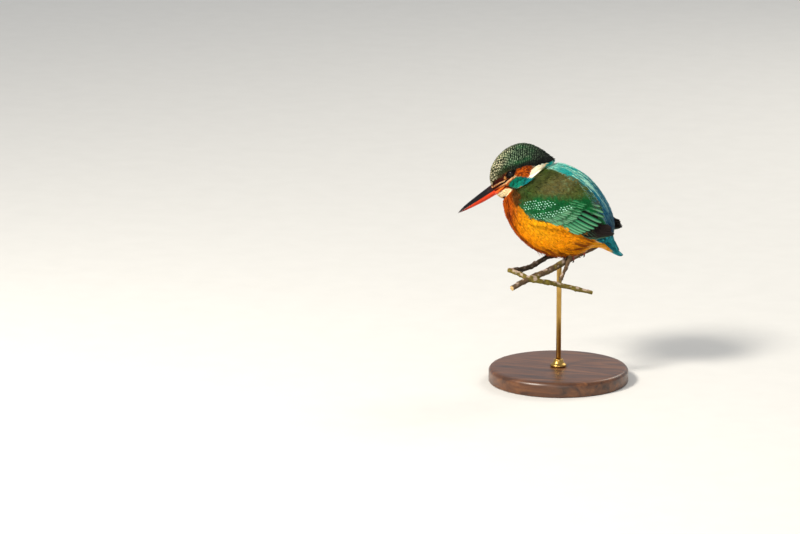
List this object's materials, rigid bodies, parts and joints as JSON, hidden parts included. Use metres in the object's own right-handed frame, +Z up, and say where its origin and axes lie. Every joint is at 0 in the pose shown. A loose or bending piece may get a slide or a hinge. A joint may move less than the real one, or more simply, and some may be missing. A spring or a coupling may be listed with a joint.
{
  "type": "common kingfisher on a perch",
  "caption": "Small perching kingfisher with a dagger bill, blue-green back and orange breast, gripping a cut branch held by a rod on a round base.",
  "frame": {"origin": "centre of the base's underside", "axes": "+Z up, -X the way the bird faces, -Y its left side"},
  "size_m": [0.1446, 0.112, 0.1892],
  "materials": {
    "crown_plumage": "soft feathers, dark green with pale bars",
    "neck_plumage": "soft feathers, cream and orange",
    "breast_plumage": "soft feathers, orange",
    "wing_plumage": "smooth feathers, green with pale spots",
    "tail_plumage": "smooth feathers, teal blue",
    "upper_bill": "smooth horn, black",
    "lower_bill": "smooth horn, orange-red",
    "eye": "polished, near black",
    "foot_skin": "fine scales, red-orange",
    "claw": "smooth horn, dark",
    "bark": "rough bark with green algae",
    "base_wood": "satin varnished hardwood",
    "stand_brass": "brushed and lacquered"
  },
  "bodies": {
    "root": {"head": "crown_plumage", "neck": "neck_plumage", "torso": "breast_plumage", "wing_left": "wing_plumage", "wing_right": "wing_plumage", "tail": "tail_plumage", "bill_upper": "upper_bill", "bill_lower": "lower_bill", "eye_left": "eye", "eye_right": "eye", "leg_left": "foot_skin", "leg_right": "foot_skin", "claw_left_1": "claw", "claw_left_2": "claw", "claw_left_3": "claw", "claw_left_4": "claw", "claw_right_1": "claw", "claw_right_2": "claw", "claw_right_3": "claw", "claw_right_4": "claw", "perch": "bark", "stand_base": "base_wood", "stand_rod": "stand_brass", "stand_collar": "stand_brass"}
  },
  "joints": []
}
